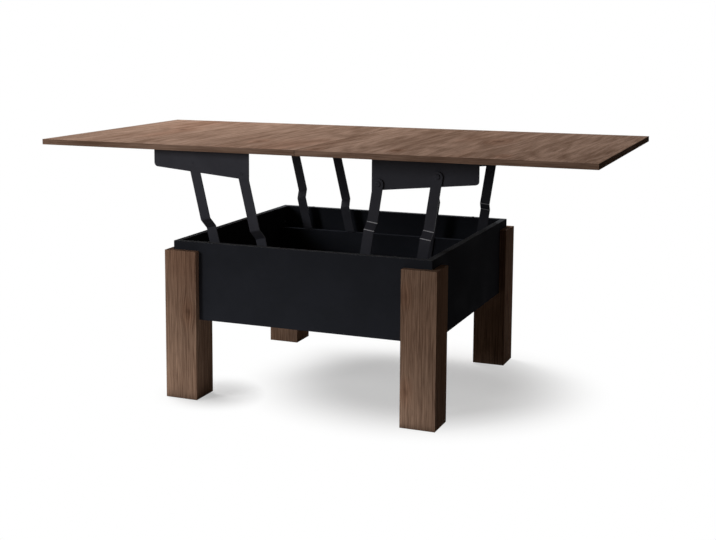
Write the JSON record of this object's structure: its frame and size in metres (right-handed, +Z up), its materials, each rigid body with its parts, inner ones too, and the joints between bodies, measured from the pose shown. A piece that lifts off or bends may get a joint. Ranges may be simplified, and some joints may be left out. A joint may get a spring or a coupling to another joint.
{
  "type": "convertible coffee dining table",
  "caption": "Square storage coffee table whose lift arms raise and shift the top, and whose second leaf unfolds to make a long dining table.",
  "frame": {"origin": "on the floor under the middle of the unfolded top", "axes": "+X along the unfolded top, +Y from front to back, +Z up"},
  "size_m": [1.64, 0.82, 0.742],
  "materials": {
    "top_wood": "matte wood-grain laminate",
    "leg_wood": "matte wood-grain laminate",
    "black_board": "matte black laminate",
    "black_steel": "black powder coat",
    "zinc": "zinc plated",
    "dowel_wood": "plain beech",
    "black_plastic": "matte",
    "black_rubber": "matte",
    "hinge_brass": "satin"
  },
  "bodies": {
    "base": {"front_panel": "black_board", "back_panel": "black_board", "left_panel": "black_board", "right_panel": "black_board", "box_floor": "black_board", "front_rail": "black_board", "back_rail": "black_board", "panel_screws": "zinc", "rail_screws": "zinc", "leg_bolts": "black_steel", "floor_dowels": "dowel_wood", "rim_bumpers": "black_rubber", "front_left_leg": "leg_wood", "front_right_leg": "leg_wood", "back_left_leg": "leg_wood", "back_right_leg": "leg_wood", "leg_glides": "black_plastic", "left_base_pins": "black_steel", "left_base_washers": "black_plastic", "right_base_pins": "black_steel", "right_base_washers": "black_plastic", "arm_stops": "black_rubber"},
    "left_outer_arms": {"left_outer_arm_front": "black_steel", "left_outer_arm_back": "black_steel"},
    "left_inner_arms": {"left_inner_arm_front": "black_steel", "left_inner_arm_back": "black_steel"},
    "left_leaf": {"left_leaf_board": "top_wood", "left_plate_front": "black_steel", "left_plate_back": "black_steel", "left_plate_screws": "zinc", "left_top_pins": "black_steel", "left_top_washers": "black_plastic", "left_hinge_cups": "hinge_brass", "hinge_links": "hinge_brass"},
    "right_leaf": {"right_leaf_board": "top_wood", "right_hinge_cups": "hinge_brass"},
    "right_outer_arms": {"right_outer_arm_front": "black_steel", "right_outer_arm_back": "black_steel"},
    "right_inner_arms": {"right_inner_arm_front": "black_steel", "right_inner_arm_back": "black_steel"},
    "right_support": {"right_plate_front": "black_steel", "right_plate_back": "black_steel", "right_tie_bars": "black_steel", "tie_bar_screws": "zinc", "support_pads": "black_rubber", "right_top_pins": "black_steel", "right_top_washers": "black_plastic"}
  },
  "joints": [
    {"name": "left_lift", "type": "hinge", "parent": "base", "child": "left_outer_arms", "pos_m": [-0.2657, 0, 0.3557], "axis": [0, 1, 0], "range_deg": [0, 91.47]},
    {"name": "left_level", "type": "hinge", "parent": "left_outer_arms", "child": "left_leaf", "pos_m": [-0.34347, 0, 0.686], "axis": [0, 1, 0], "range_deg": [-91.48, 0]},
    {"name": "left_follow", "type": "hinge", "parent": "base", "child": "left_inner_arms", "pos_m": [-0.1084, 0, 0.3317], "axis": [0, 1, 0], "range_deg": [0, 91.48]},
    {"name": "right_raise", "type": "hinge", "parent": "base", "child": "right_outer_arms", "pos_m": [0.3154, 0, 0.3281], "axis": [0, 1, 0], "range_deg": [-85.67, 0]},
    {"name": "right_level", "type": "hinge", "parent": "right_outer_arms", "child": "right_support", "pos_m": [0.36687, 0, 0.6725], "axis": [0, 1, 0], "range_deg": [0, 85.67]},
    {"name": "right_follow", "type": "hinge", "parent": "base", "child": "right_inner_arms", "pos_m": [0.1456, 0, 0.3], "axis": [0, 1, 0], "range_deg": [-85.67, 0]},
    {"name": "leaf_fold", "type": "hinge", "parent": "left_leaf", "child": "right_leaf", "pos_m": [0, 0, 0.74215], "axis": [0, -1, 0], "range_deg": [0, 180]}
  ],
  "couplings": [
    {"joint": "left_level", "follows": "left_lift", "ratio": -1},
    {"joint": "left_follow", "follows": "left_lift", "ratio": 1},
    {"joint": "right_raise", "follows": "left_lift", "ratio": -0.9365},
    {"joint": "right_level", "follows": "left_lift", "ratio": 0.9365},
    {"joint": "right_follow", "follows": "left_lift", "ratio": -0.9365}
  ]
}
